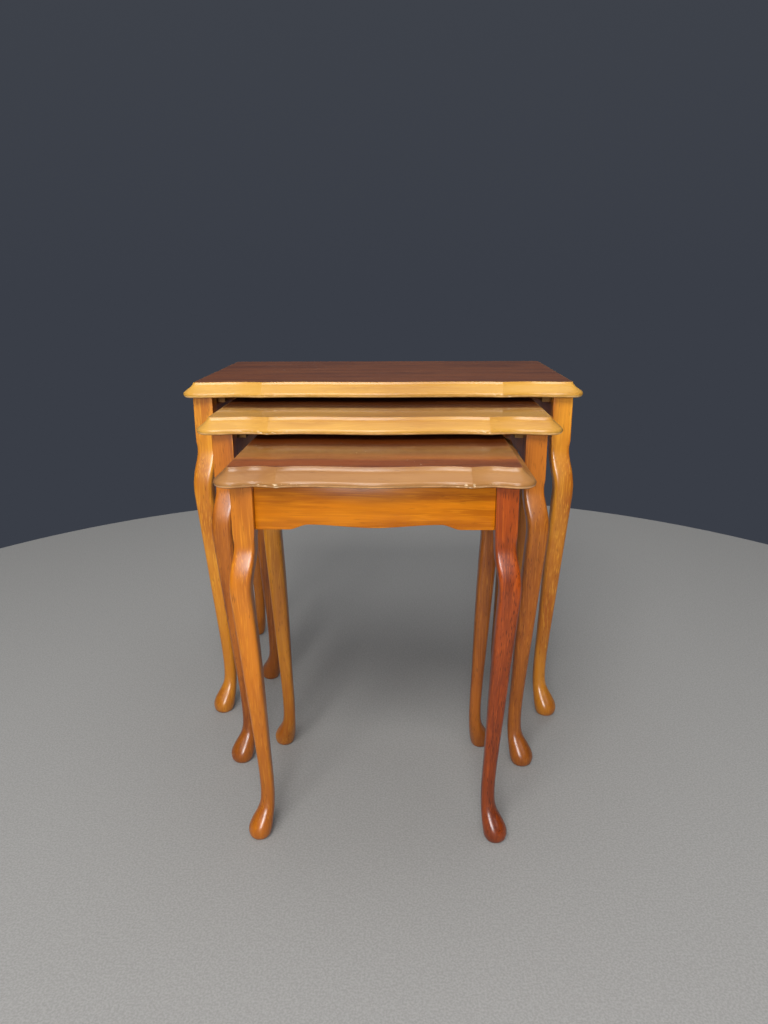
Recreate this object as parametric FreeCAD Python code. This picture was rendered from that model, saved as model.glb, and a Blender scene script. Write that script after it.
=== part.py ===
import FreeCAD, Part
import math
import os
from dataclasses import dataclass

# A nest of three occasional tables on cabriole legs.  Every table has its own top, four legs,
# two side rails and a back rail; only the small one has a front apron, so that each table can
# slide into the open front of the next.  Millimetres, +Z up, the floor at Z = 0, and the front
# of the tables faces -Y.  The model is drawn as it stands in use, with the middle and small
# tables pulled forward.

# ---------------------------------------------------------------- driving dimensions
LARGE_WIDTH = 590.0
LARGE_DEPTH = 350.0
LARGE_HEIGHT = 550.0

LARGE_BLOCK = 28.4             # side of the square block at the head of each leg
MIDDLE_BLOCK = 28.0
SMALL_BLOCK = 25.2

LARGE_BLOCK_LENGTH = 69.8      # how far down that block reaches
MIDDLE_BLOCK_LENGTH = 66.0
BLOCK_BELOW_APRON = 8.3        # how much further down than the apron the small table's reaches

LARGE_SIDE_OVERHANG = 14.2     # from a leg block's outer face to the side edge of the top
MIDDLE_SIDE_OVERHANG = 19.6
SMALL_SIDE_OVERHANG = 18.5
END_OVERHANG = 15.3            # the same, at the front and at the back

NEST_SIDE_GAP = 12.0           # between a table's leg and the edge of the top that slides in
NEST_HEIGHT_GAP = 6.8          # between a table's underside and the top that slides in
MIDDLE_REAR_GAP = 3.0          # left behind a nested top when its front edge is flush
SMALL_REAR_GAP = 6.2

MIDDLE_PULLED_OUT = 140.6      # how far each table stands forward of its nested place
SMALL_PULLED_OUT = 165.0

# Tops: a coved edge that runs out to a rounded nose, with a serpentine front.
TOP_THICKNESS = 21.5
COVE_REACH = 15.5              # from the nose back to the edge of the flat upper surface
NOSE_DROP = 16.5               # from the upper surface down to the nose
FRONT_CORNER_RADIUS = 19.5
BACK_CORNER_RADIUS = 27.0
CUSP_SHARE = 0.20              # where the front edge breaks, as a share of the width
WAVE_DEPTH = 6.0

# Rails and the small table's apron.
RAIL_THICKNESS = 18.0
RAIL_HEIGHT = 50.0
APRON_THICKNESS = 14.0
APRON_HEIGHT = 54.0
APRON_SETBACK = 9.0            # from the leg block's front face to the apron's front face
APRON_FLAT = 38.0              # straight length at each end of a shaped lower edge
APRON_OGEE = 23.0              # length of the ogee that rises from it
APRON_RISE = 6.0               # height of that ogee
APRON_SAG = 4.0                # how far the middle of the edge comes down again

# Joinery.
DOWEL_DIAMETER = 8.0
DOWEL_IN_LEG = 12.0
DOWEL_IN_RAIL = 20.0
SIDE_DOWEL_DROPS = (11.0, 31.0)    # dowel centres below the top of a side rail
BACK_DOWEL_DROPS = (21.0, 41.0)    # the same in the back rail and apron, so that none meet
BLOCK_LENGTH = 56.0            # screw blocks inside the side rails
BLOCK_CLEARANCE = 3.2          # between a screw block and the top that slides in beside it
BLOCK_INSET = 16.0             # from a leg to the end of the nearest screw block
SCREW_DIAMETER = 4.0
SCREW_HEAD_DIAMETER = 8.0
SCREW_HEAD_HEIGHT = 2.4
SCREW_IN_TOP = 11.0
SCREW_TIP = 3.0
SLOT_WIDTH = 1.1
SLOT_DEPTH = 1.2

# The cabriole leg: share of the shaped part's height, reach outwards and reach inwards from the
# block's centre as multiples of half the block, and how square the section is (2 is round).
LEG_SECTIONS = (
    (1.0000, 0.99, 0.97, 9.0),
    (0.9677, 0.99, 0.95, 8.0),
    (0.9217, 1.30, 0.80, 6.0),
    (0.8641, 1.56, 0.48, 5.0),
    (0.8007, 1.50, 0.50, 4.5),
    (0.6498, 1.14, 0.76, 4.0),
    (0.4643, 0.70, 0.98, 3.5),
    (0.2880, 0.27, 1.15, 3.0),
    (0.1498, 0.09, 1.29, 2.5),
    (0.0979, 0.32, 1.25, 2.3),
    (0.0599, 0.98, 1.16, 2.1),
    (0.0323, 1.36, 1.05, 2.0),
    (0.0115, 1.33, 0.90, 2.0),
    (0.0000, 1.08, 0.66, 2.0),
)
SECTION_POINTS = 24
LOFT_DEGREE = 3                # higher degrees swell above the edge of a top


@dataclass
class Table:
    """The sizes of one table and where it stands: x = 0 is its middle, front_y its front legs."""

    name: str
    width: float
    depth: float
    height: float
    block: float
    block_length: float
    side_overhang: float
    wave_crown: float          # how far the middle of the front edge swells, share of the wave
    front_y: float = 0.0

    @property
    def underside(self):
        return self.height - TOP_THICKNESS

    @property
    def shaped_height(self):
        """The height of the shaped part of a leg, below its square block."""
        return self.underside - self.block_length

    @property
    def leg_x(self):
        return self.width / 2 - self.side_overhang - self.block / 2

    @property
    def rail_face(self):
        """The inner face of the side rails, as a distance from the middle of the table."""
        return self.leg_x - RAIL_THICKNESS / 2

    @property
    def screw_block(self):
        """The side of the square screw blocks, which fill the gap beside a nested top."""
        leg_face = self.leg_x - self.block / 2
        return self.rail_face - (leg_face - NEST_SIDE_GAP) - BLOCK_CLEARANCE

    @property
    def leg_margin(self):
        """From the front edge of the top back to the centre of the front legs."""
        return END_OVERHANG + self.block / 2

    @property
    def back_y(self):
        return self.front_y + self.depth - 2 * self.leg_margin

    @property
    def front_edge(self):
        return self.front_y - self.leg_margin

    @property
    def back_edge(self):
        return self.back_y + self.leg_margin


def nested_table(name, host, block, block_length, side_overhang, rear_gap, wave_crown):
    """A table that slides into the open front of the host table with the named gaps."""
    width = host.width - 2 * (host.side_overhang + host.block + NEST_SIDE_GAP)
    depth = host.depth - host.leg_margin - RAIL_THICKNESS / 2 - rear_gap
    height = host.underside - NEST_HEIGHT_GAP
    return Table(name, width, depth, height, block, block_length, side_overhang, wave_crown)


def nest():
    """The three tables, placed so that the whole nest is centred on the origin."""
    large = Table("large", LARGE_WIDTH, LARGE_DEPTH, LARGE_HEIGHT, LARGE_BLOCK,
                  LARGE_BLOCK_LENGTH, LARGE_SIDE_OVERHANG, 0.75)
    middle = nested_table("middle", large, MIDDLE_BLOCK, MIDDLE_BLOCK_LENGTH,
                          MIDDLE_SIDE_OVERHANG, MIDDLE_REAR_GAP, 1.0)
    small = nested_table("small", middle, SMALL_BLOCK, APRON_HEIGHT + BLOCK_BELOW_APRON,
                         SMALL_SIDE_OVERHANG, SMALL_REAR_GAP, 0.95)
    middle.front_y = large.front_edge + middle.leg_margin - MIDDLE_PULLED_OUT
    small.front_y = middle.front_edge + small.leg_margin - SMALL_PULLED_OUT
    middle_of_nest = (small.front_edge + large.back_edge) / 2
    for table in (large, middle, small):
        table.front_y -= middle_of_nest
    return large, middle, small


# ---------------------------------------------------------------- table tops
def smooth_curve(points, start=None, end=None):
    """A spline through the points, with its end directions where they are given."""
    curve = Part.BSplineCurve()
    vectors = [FreeCAD.Vector(*point) for point in points]
    if start is None and end is None:
        curve.interpolate(Points=vectors)
        return curve.toShape()
    curve.interpolate(Points=vectors, InitialTangent=FreeCAD.Vector(*start),
                      FinalTangent=FreeCAD.Vector(*end))
    return curve.toShape()


def corner_arc(centre_x, centre_y, radius, start_angle, z):
    """A quarter circle seen from above, running anticlockwise from the start angle."""
    points = []
    for step in range(3):
        angle = math.radians(start_angle + 45 * step)
        points.append(FreeCAD.Vector(centre_x + radius * math.cos(angle),
                                     centre_y + radius * math.sin(angle), z))
    return Part.Arc(*points).toShape()


def front_curves(table, inset, z):
    """The serpentine front edge, left to right: end sweep, swelling middle, end sweep."""
    half = table.width / 2
    start_x = half - FRONT_CORNER_RADIUS
    cusp_x = half - CUSP_SHARE * table.width
    trough = table.front_edge + WAVE_DEPTH + inset

    def at(x, wave):
        return (x, trough - WAVE_DEPTH * wave, z)

    near = half - 0.125 * table.width
    far = half - 0.28 * table.width
    left = [at(-start_x, 1.0), at(-near, 0.0), at(-cusp_x, 0.8)]
    right = [at(cusp_x, 0.8), at(near, 0.0), at(start_x, 1.0)]
    middle = [at(-cusp_x, 0.8), at(-far, 0.05), at(0, table.wave_crown),
              at(far, 0.05), at(cusp_x, 0.8)]
    slope = WAVE_DEPTH / (0.05 * table.width)
    return [
        smooth_curve(left, (1, 0, 0), (1, -slope, 0)),
        smooth_curve(middle, (1, slope, 0), (1, -slope, 0)),
        smooth_curve(right, (1, slope, 0), (1, 0, 0)),
    ]


def top_outline(table, inset, z):
    """The outline of a top at one height, drawn in from the nose by the inset."""
    half = table.width / 2
    front_x = half - FRONT_CORNER_RADIUS
    back_x = half - BACK_CORNER_RADIUS
    front_centre = table.front_edge + FRONT_CORNER_RADIUS
    back_centre = table.back_edge - BACK_CORNER_RADIUS
    front_radius = FRONT_CORNER_RADIUS - inset
    back_radius = BACK_CORNER_RADIUS - inset
    side = half - inset
    back = table.back_edge - inset
    line = Part.makeLine
    edges = front_curves(table, inset, z)
    edges.append(corner_arc(front_x, front_centre, front_radius, -90, z))
    edges.append(line((side, front_centre, z), (side, back_centre, z)))
    edges.append(corner_arc(back_x, back_centre, back_radius, 0, z))
    edges.append(line((back_x, back, z), (-back_x, back, z)))
    edges.append(corner_arc(-back_x, back_centre, back_radius, 90, z))
    edges.append(line((-side, back_centre, z), (-side, front_centre, z)))
    edges.append(corner_arc(-front_x, front_centre, front_radius, 180, z))
    return Part.Wire(edges)


def edge_profile():
    """Inset from the nose and drop below the surface, from the upper surface to the underside."""
    cove = [(1.0, 0.0), (0.88, 0.23), (0.65, 0.44), (0.40, 0.61), (0.17, 0.77), (0.04, 0.89),
            (0.0, 1.0)]
    profile = [(COVE_REACH * across, NOSE_DROP * down) for across, down in cove]
    nose_radius = TOP_THICKNESS - NOSE_DROP
    for angle in (35, 65, 90):
        turn = math.radians(angle)
        inset = nose_radius * (1 - math.cos(turn))
        profile.append((inset, NOSE_DROP + nose_radius * math.sin(turn)))
    return profile


def make_top(table, screws):
    outlines = [top_outline(table, inset, table.height - drop) for inset, drop in edge_profile()]
    top = Part.makeLoft(outlines, True, False, False, LOFT_DEGREE)
    return top.cut(screws)


# ---------------------------------------------------------------- legs
def leg_section(shift, half, squareness, z):
    """A closed curve between a circle and a square with rounded corners, starting inside."""
    points = []
    for step in range(SECTION_POINTS):
        angle = math.pi + 2 * math.pi * step / SECTION_POINTS
        across = math.copysign(abs(math.cos(angle)) ** (2 / squareness), math.cos(angle))
        along = math.copysign(abs(math.sin(angle)) ** (2 / squareness), math.sin(angle))
        points.append(FreeCAD.Vector(shift + half * across, shift + half * along, z))
    curve = Part.BSplineCurve()
    curve.interpolate(Points=points, PeriodicFlag=True)
    return Part.Wire([curve.toShape()])


def make_plain_leg(table):
    """A leg on the origin that reaches out towards +X and +Y, before its dowel holes."""
    half = table.block / 2
    sections = []
    for share, outwards, inwards, squareness in LEG_SECTIONS:
        shift = (outwards - inwards) / 2 * half
        size = (outwards + inwards) / 2 * half
        sections.append(leg_section(shift, size, squareness, share * table.shaped_height))
    reach = 4 * table.block
    above_floor = Part.makeBox(reach, reach, table.underside,
                               FreeCAD.Vector(-reach / 2, -reach / 2, 0))
    shaped = Part.makeLoft(sections, True, False, False, LOFT_DEGREE).common(above_floor)
    block = Part.makeBox(table.block, table.block, table.block_length,
                         FreeCAD.Vector(-half, -half, table.underside - table.block_length))
    return block.fuse(shaped).removeSplitter()


def make_leg(table, side, end, dowels):
    """One leg; side is -1 at the left and 1 at the right, end is -1 at the front, 1 behind."""
    leg = make_plain_leg(table)
    origin = FreeCAD.Vector(0, 0, 0)
    if side < 0:
        leg = leg.mirror(origin, FreeCAD.Vector(1, 0, 0))
    if end < 0:
        leg = leg.mirror(origin, FreeCAD.Vector(0, 1, 0))
    leg.translate(FreeCAD.Vector(side * table.leg_x,
                                 table.front_y if end < 0 else table.back_y, 0))
    return leg.cut(dowels)


# ---------------------------------------------------------------- rails and apron
def make_shaped_rail(length, height, thickness):
    """A rail along X, its top at Z = 0 and its front face at Y = 0, with a shaped lower edge:
    level ends, an ogee up from each and a shallow sag between."""
    half = length / 2
    flat_end = half - APRON_FLAT
    peak = flat_end - APRON_OGEE
    drop = -height
    crest = drop + APRON_RISE
    middle = crest - APRON_SAG
    line = Part.makeLine
    edges = [
        line((-half, 0, 0), (-half, 0, drop)),
        line((-half, 0, drop), (-flat_end, 0, drop)),
        smooth_curve([(-flat_end, 0, drop), (-(flat_end + peak) / 2, 0, drop + APRON_RISE / 2),
                      (-peak, 0, crest)], (1, 0, 0), (1, 0, 0)),
        smooth_curve([(-peak, 0, crest), (0, 0, middle), (peak, 0, crest)], (1, 0, 0), (1, 0, 0)),
        smooth_curve([(peak, 0, crest), ((flat_end + peak) / 2, 0, drop + APRON_RISE / 2),
                      (flat_end, 0, drop)], (1, 0, 0), (1, 0, 0)),
        line((flat_end, 0, drop), (half, 0, drop)),
        line((half, 0, drop), (half, 0, 0)),
        line((half, 0, 0), (-half, 0, 0)),
    ]
    face = Part.Face(Part.Wire(edges))
    return face.extrude(FreeCAD.Vector(0, thickness, 0))


def make_side_rail(table, side, fixings):
    length = table.back_y - table.front_y - table.block
    rail = make_shaped_rail(length, RAIL_HEIGHT, RAIL_THICKNESS)
    rail.rotate(FreeCAD.Vector(0, 0, 0), FreeCAD.Vector(0, 0, 1), 90)
    middle_y = (table.front_y + table.back_y) / 2
    rail.translate(FreeCAD.Vector(side * table.leg_x + RAIL_THICKNESS / 2, middle_y,
                                  table.underside))
    return rail.cut(fixings)


def make_back_rail(table, fixings):
    length = 2 * table.leg_x - table.block
    rail = Part.makeBox(length, RAIL_THICKNESS, RAIL_HEIGHT,
                        FreeCAD.Vector(-length / 2, table.back_y - RAIL_THICKNESS / 2,
                                       table.underside - RAIL_HEIGHT))
    return rail.cut(fixings)


def apron_front(table):
    return table.front_y - table.block / 2 + APRON_SETBACK


def make_front_apron(table, fixings):
    length = 2 * table.leg_x - table.block
    apron = make_shaped_rail(length, APRON_HEIGHT, APRON_THICKNESS)
    apron.translate(FreeCAD.Vector(0, apron_front(table), table.underside))
    return apron.cut(fixings)


# ---------------------------------------------------------------- joinery
def make_dowels(table, with_apron):
    """Two dowels at every end of every rail, half in the leg and half in the rail."""
    radius = DOWEL_DIAMETER / 2
    length = DOWEL_IN_LEG + DOWEL_IN_RAIL
    dowels = []
    for side in (-1, 1):
        for end, leg_y in ((-1, table.front_y), (1, table.back_y)):
            start_y = leg_y - end * (table.block / 2 - DOWEL_IN_LEG)
            for drop in SIDE_DOWEL_DROPS:
                place = FreeCAD.Vector(side * table.leg_x, start_y, table.underside - drop)
                dowels.append(Part.makeCylinder(radius, length, place,
                                                FreeCAD.Vector(0, -end, 0)))
        rows = [table.back_y]
        if with_apron:
            rows.append(apron_front(table) + APRON_THICKNESS / 2)
        start_x = side * (table.leg_x - table.block / 2 + DOWEL_IN_LEG)
        for y in rows:
            for drop in BACK_DOWEL_DROPS:
                place = FreeCAD.Vector(start_x, y, table.underside - drop)
                dowels.append(Part.makeCylinder(radius, length, place,
                                                FreeCAD.Vector(-side, 0, 0)))
    return Part.makeCompound(dowels)


def screw_block_places(table):
    """The low corner nearest the front and the left of each screw block."""
    front = table.front_y + table.block / 2 + BLOCK_INSET
    back = table.back_y - table.block / 2 - BLOCK_INSET - BLOCK_LENGTH
    low = table.underside - table.screw_block
    places = []
    for x in (-table.rail_face, table.rail_face - table.screw_block):
        for y in (front, back):
            places.append(FreeCAD.Vector(x, y, low))
    return places


def make_screw(table, x, y):
    """A countersunk screw pointing up through a screw block into the top."""
    head = SCREW_HEAD_DIAMETER / 2
    shank = SCREW_DIAMETER / 2
    tip = table.screw_block + SCREW_IN_TOP
    outline = [(0, 0), (head, 0), (shank, SCREW_HEAD_HEIGHT), (shank, tip - SCREW_TIP), (0, tip)]
    points = [FreeCAD.Vector(radius, 0, up) for radius, up in outline]
    face = Part.Face(Part.makePolygon(points + points[:1]))
    screw = face.revolve(FreeCAD.Vector(0, 0, 0), FreeCAD.Vector(0, 0, 1), 360)
    screw.translate(FreeCAD.Vector(x, y, table.underside - table.screw_block))
    return screw


def make_screws(table):
    screws = []
    for place in screw_block_places(table):
        for share in (0.25, 0.75):
            screws.append(make_screw(table, place.x + table.screw_block / 2,
                                     place.y + BLOCK_LENGTH * share))
    return Part.makeCompound(screws)


def slotted(screws):
    """The screws with their driver slots cut."""
    cut_screws = []
    for screw in screws.Solids:
        box = screw.BoundBox
        slot = Part.makeBox(SCREW_HEAD_DIAMETER, SLOT_WIDTH, SLOT_DEPTH,
                            FreeCAD.Vector(box.XMin, box.Center.y - SLOT_WIDTH / 2, box.ZMin))
        cut_screws.append(screw.cut(slot))
    return Part.makeCompound(cut_screws)


def make_screw_blocks(table, screws):
    side = table.screw_block
    blocks = []
    for place in screw_block_places(table):
        blocks.append(Part.makeBox(side, BLOCK_LENGTH, side, place).cut(screws))
    return Part.makeCompound(blocks)


# ---------------------------------------------------------------- the whole nest
def table_parts(table, with_apron):
    """Every separate piece of one table, by node name."""
    screws = make_screws(table)
    dowels = make_dowels(table, with_apron)
    parts = {
        "top": make_top(table, screws),
        "side_rail_left": make_side_rail(table, -1, dowels),
        "side_rail_right": make_side_rail(table, 1, dowels),
        "back_rail": make_back_rail(table, dowels),
        "screw_blocks": make_screw_blocks(table, screws),
        "top_screws": slotted(screws),
        "dowels": dowels,
    }
    for end, end_name in ((-1, "front"), (1, "rear")):
        for side, side_name in ((-1, "left"), (1, "right")):
            parts[f"leg_{end_name}_{side_name}"] = make_leg(table, side, end, dowels)
    if with_apron:
        parts["front_apron"] = make_front_apron(table, dowels)
    return {f"{table.name}_{name}": shape for name, shape in parts.items()}


def main():
    os.makedirs("parts", exist_ok=True)
    for table in nest():
        print(f"{table.name}: {table.width:.1f} x {table.depth:.1f} x {table.height:.1f}, "
              f"front legs at {table.front_y:.1f}, back legs at {table.back_y:.1f}")
        for name, shape in table_parts(table, table.name == "small").items():
            shape.exportStep(f"parts/{name}.step")
            print(f"  {name}: {len(shape.Solids)} solids, {shape.Volume / 1000:.1f} cm3, "
                  f"valid {shape.isValid()}")


main()
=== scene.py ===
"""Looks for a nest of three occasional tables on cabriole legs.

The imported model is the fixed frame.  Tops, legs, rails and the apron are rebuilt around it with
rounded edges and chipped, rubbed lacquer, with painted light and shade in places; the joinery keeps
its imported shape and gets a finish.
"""

import logging
import math
from dataclasses import dataclass, field
from enum import Enum
from typing import Any, Iterable, Mapping, Optional, Sequence, Union

import bmesh
import bpy
import numpy as np
from mathutils import Euler, Matrix, Vector


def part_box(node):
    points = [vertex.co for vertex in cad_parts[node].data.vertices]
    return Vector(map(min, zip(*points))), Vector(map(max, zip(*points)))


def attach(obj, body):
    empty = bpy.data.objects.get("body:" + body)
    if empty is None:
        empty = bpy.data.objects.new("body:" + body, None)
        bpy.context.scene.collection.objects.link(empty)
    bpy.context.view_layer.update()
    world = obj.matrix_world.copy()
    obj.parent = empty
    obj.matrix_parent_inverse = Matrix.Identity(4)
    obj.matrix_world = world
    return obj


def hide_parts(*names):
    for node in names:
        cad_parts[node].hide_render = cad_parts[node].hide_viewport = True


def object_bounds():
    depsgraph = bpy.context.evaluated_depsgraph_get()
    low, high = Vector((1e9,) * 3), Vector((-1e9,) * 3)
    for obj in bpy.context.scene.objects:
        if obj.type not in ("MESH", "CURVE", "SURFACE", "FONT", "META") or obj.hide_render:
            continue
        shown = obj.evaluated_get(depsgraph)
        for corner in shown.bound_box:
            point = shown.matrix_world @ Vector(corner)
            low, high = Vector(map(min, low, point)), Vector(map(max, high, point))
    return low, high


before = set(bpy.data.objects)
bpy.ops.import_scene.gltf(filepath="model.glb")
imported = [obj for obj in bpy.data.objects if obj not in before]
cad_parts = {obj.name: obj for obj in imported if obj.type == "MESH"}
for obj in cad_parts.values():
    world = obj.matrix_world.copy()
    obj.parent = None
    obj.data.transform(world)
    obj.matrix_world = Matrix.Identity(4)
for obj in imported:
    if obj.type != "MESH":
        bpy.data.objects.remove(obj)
CAD_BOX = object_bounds()

LOG = logging.getLogger("nest_of_tables")

Colour = tuple[float, float, float]
Place = tuple[float, float, float]
Operand = Union["Value", float]


# ---------------------------------------------------------------- numbers
def paint(red: int, green: int, blue: int) -> Colour:
    """Turn display values from 0 to 255 into the linear colour that a shader takes.

    Args:
        red: Red as displayed.
        green: Green as displayed.
        blue: Blue as displayed.

    Returns:
        The linear colour.
    """
    def linear(value: int) -> float:
        """One channel, linear."""
        share = value / 255
        return share / 12.92 if share <= 0.04045 else ((share + 0.055) / 1.055) ** 2.4

    return linear(red), linear(green), linear(blue)


def cubic_through(
    xs: Sequence[float],
    ys: Sequence[float],
    at: np.ndarray,
    slopes: Optional[tuple[float, float]] = None,
) -> np.ndarray:
    """Evaluate the cubic spline through some points.

    Args:
        xs: Increasing places of the points.
        ys: Heights of the points.
        at: Places to evaluate at.
        slopes: The slopes at both ends; the ends are natural without them.

    Returns:
        The height of the spline at each place.
    """
    x, y = np.asarray(xs, float), np.asarray(ys, float)
    step = np.diff(x)
    rise = np.diff(y) / step
    count = len(x)
    matrix, right = np.eye(count), np.zeros(count)
    for i in range(1, count - 1):
        matrix[i, i - 1:i + 2] = step[i - 1], 2 * (step[i - 1] + step[i]), step[i]
        right[i] = 6 * (rise[i] - rise[i - 1])
    if slopes is not None:
        matrix[0, :2] = 2 * step[0], step[0]
        matrix[-1, -2:] = step[-1], 2 * step[-1]
        right[0] = 6 * (rise[0] - slopes[0])
        right[-1] = 6 * (slopes[1] - rise[-1])
    bend = np.linalg.solve(matrix, right)
    i = np.clip(np.searchsorted(x, at) - 1, 0, count - 2)
    left, gap = at - x[i], x[i + 1] - at
    return (
        (bend[i] * gap ** 3 + bend[i + 1] * left ** 3) / (6 * step[i])
        + (y[i] / step[i] - bend[i] * step[i] / 6) * gap
        + (y[i + 1] / step[i] - bend[i + 1] * step[i] / 6) * left
    )


# ---------------------------------------------------------------- node trees
class Value:
    """A socket of a node tree that can be used in arithmetic."""

    def __init__(self, graph: "Graph", socket: bpy.types.NodeSocket) -> None:
        """Wrap a socket.

        Args:
            graph: The graph that the socket belongs to.
            socket: An output socket.
        """
        self.graph = graph
        self.socket = socket

    def out(self, name: str) -> "Value":
        """Another output of the same node, by name."""
        return Value(self.graph, self.socket.node.outputs[name])

    def _math(self, operation: str, first: Operand, second: Operand = 0.0) -> "Value":
        """Add one Math node on two operands."""
        return self.graph.add("ShaderNodeMath", {"operation": operation}, {0: first, 1: second})

    def __add__(self, other: Operand) -> "Value":
        """Sum."""
        return self._math("ADD", self, other)

    def __sub__(self, other: Operand) -> "Value":
        """Difference."""
        return self._math("SUBTRACT", self, other)

    def __rsub__(self, other: Operand) -> "Value":
        """Difference with the number first."""
        return self._math("SUBTRACT", other, self)

    def __mul__(self, other: Operand) -> "Value":
        """Product."""
        return self._math("MULTIPLY", self, other)

    def __rmul__(self, other: Operand) -> "Value":
        """Product."""
        return self._math("MULTIPLY", other, self)

    def __truediv__(self, other: Operand) -> "Value":
        """Quotient."""
        return self._math("DIVIDE", self, other)

    def __rtruediv__(self, other: Operand) -> "Value":
        """Quotient with the number first."""
        return self._math("DIVIDE", other, self)

    def __pow__(self, other: Operand) -> "Value":
        """Power."""
        return self._math("POWER", self, other)

    def __abs__(self) -> "Value":
        """Size without its sign."""
        return self._math("ABSOLUTE", self)

    def __gt__(self, other: Operand) -> "Value":
        """One where this is greater, else zero."""
        return self._math("GREATER_THAN", self, other)

    def sign(self) -> "Value":
        """Minus one, zero or one."""
        return self._math("SIGN", self)

    def smooth(self, low: float, high: float) -> "Value":
        """Rise smoothly from 0 at one value to 1 at another.

        Args:
            low: Where the result is 0.
            high: Where the result is 1.

        Returns:
            The result, held between 0 and 1.
        """
        return self.graph.add(
            "ShaderNodeMapRange",
            {"interpolation_type": "SMOOTHSTEP"},
            {"Value": self, "From Min": low, "From Max": high},
        )


class Graph:
    """A shader or geometry node tree that is written from Python."""

    def __init__(self, tree: bpy.types.NodeTree) -> None:
        """Start on an empty tree.

        Args:
            tree: The tree; what it holds is removed.
        """
        self.tree = tree
        tree.nodes.clear()

    def add(
        self,
        kind: str,
        settings: Optional[Mapping[str, Any]] = None,
        inputs: Optional[Mapping[Union[int, str], Any]] = None,
    ) -> Value:
        """Add one node.

        Args:
            kind: The node's type.
            settings: The node's own settings.  "stops" holds a ramp's stops and "points" the
                points of a float curve.
            inputs: Values or links of its input sockets, by name or place.

        Returns:
            The node's first output in use.
        """
        node = self.tree.nodes.new(kind)
        for name, setting in (settings or {}).items():
            if name == "stops":
                self._set_stops(node.color_ramp, setting)
            elif name == "points":
                self._set_points(node.mapping, setting)
            else:
                setattr(node, name, setting)
        for key, value in (inputs or {}).items():
            self._feed(self._input(node, key), value)
        outputs = [socket for socket in node.outputs if socket.enabled]
        return Value(self, outputs[0] if outputs else None)

    @staticmethod
    def _set_stops(ramp: bpy.types.ColorRamp, stops: Sequence[tuple[float, Colour]]) -> None:
        """Give a ramp its stops."""
        while len(ramp.elements) < len(stops):
            ramp.elements.new(1.0)
        for element, (place, colour) in zip(ramp.elements, stops):
            element.position = place
            element.color = (*colour, 1.0)

    @staticmethod
    def _set_points(mapping: bpy.types.CurveMapping, points: np.ndarray) -> None:
        """Give a float curve its points, joined by straight lines."""
        curve = mapping.curves[0]
        while len(curve.points) < len(points):
            curve.points.new(0.5, 0.5)
        for point, (x, y) in zip(curve.points, points):
            point.location = (x, y)
            point.handle_type = "VECTOR"
        mapping.update()

    @staticmethod
    def _input(node: bpy.types.Node, key: Union[int, str]) -> bpy.types.NodeSocket:
        """The input socket in use with that name or place."""
        if isinstance(key, int):
            return node.inputs[key]
        for socket in node.inputs:
            if socket.name == key and socket.enabled:
                return socket
        raise KeyError(f"{node.bl_idname} has no input {key!r} in use")

    def _feed(self, socket: bpy.types.NodeSocket, value: Any) -> None:
        """Link a value or set a constant."""
        if isinstance(value, Value):
            self.tree.links.new(value.socket, socket)
        elif isinstance(value, (list, tuple)) and isinstance(value[0], Value):
            for one in value:
                self.tree.links.new(one.socket, socket)
        elif socket.type == "RGBA":
            socket.default_value = (*value, 1.0)
        else:
            socket.default_value = value


class ShaderGraph(Graph):
    """A material's nodes."""

    def __init__(self, name: str) -> None:
        """Make the material.

        Args:
            name: The material's name.
        """
        self.material = bpy.data.materials.new(name)
        self.material.use_nodes = True
        super().__init__(self.material.node_tree)
        self.place = self.add("ShaderNodeTexCoord").out("Object")

    def mix(self, factor: Operand, first: Any, second: Any) -> Value:
        """Mix two colours.

        Args:
            factor: How much of the second.
            first: A colour or its socket.
            second: A colour or its socket.

        Returns:
            The mixed colour.
        """
        return self.add(
            "ShaderNodeMix",
            {"data_type": "RGBA"},
            {"Factor": factor, "A": first, "B": second},
        )

    def stretched(self, scale: Place, shift: float = 0.0, bend: Optional[Value] = None) -> Value:
        """Object coordinates with their own scale along each axis.

        Args:
            scale: Pattern units in a metre along X, Y and Z.
            shift: A distance that moves the pattern, so that two of them differ.
            bend: A vector to add before scaling.

        Returns:
            The coordinates.
        """
        place = self.place
        if bend is not None:
            place = self.add("ShaderNodeVectorMath", {"operation": "ADD"}, {0: place, 1: bend})
        return self.add(
            "ShaderNodeVectorMath",
            {"operation": "MULTIPLY_ADD"},
            {0: place, 1: scale, 2: (shift, shift * 1.7, shift * 0.6)},
        )

    def noise(self, place: Value, detail: float = 2.0, rough: float = 0.5) -> Value:
        """A soft noise at the coordinates, one unit to a feature."""
        return self.add(
            "ShaderNodeTexNoise",
            {},
            {"Vector": place, "Scale": 1.0, "Detail": detail, "Roughness": rough},
        )

    def bump(self, height: Value, strength: float, distance: float) -> Value:
        """A normal bent by a height."""
        return self.add(
            "ShaderNodeBump", {}, {"Height": height, "Strength": strength, "Distance": distance}
        )

    def close(self, **sockets: Any) -> bpy.types.Material:
        """Finish with a Principled shader.

        Args:
            **sockets: The shader's inputs, with underscores for spaces.

        Returns:
            The material.
        """
        inputs = {name.replace("_", " "): value for name, value in sockets.items()}
        shader = self.add("ShaderNodeBsdfPrincipled", {}, inputs)
        self.add("ShaderNodeOutputMaterial", {}, {"Surface": shader})
        return self.material


# ---------------------------------------------------------------- finishes
class Grain(Enum):
    """The way that a board's grain runs."""

    ACROSS = 0
    DEEP = 1
    UPRIGHT = 2

    def scale(self, cross: float, along: float) -> Place:
        """Pattern units in a metre, given those across the grain and along it."""
        scale = [cross, cross, cross]
        scale[self.value] = along
        return tuple(scale)


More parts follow.
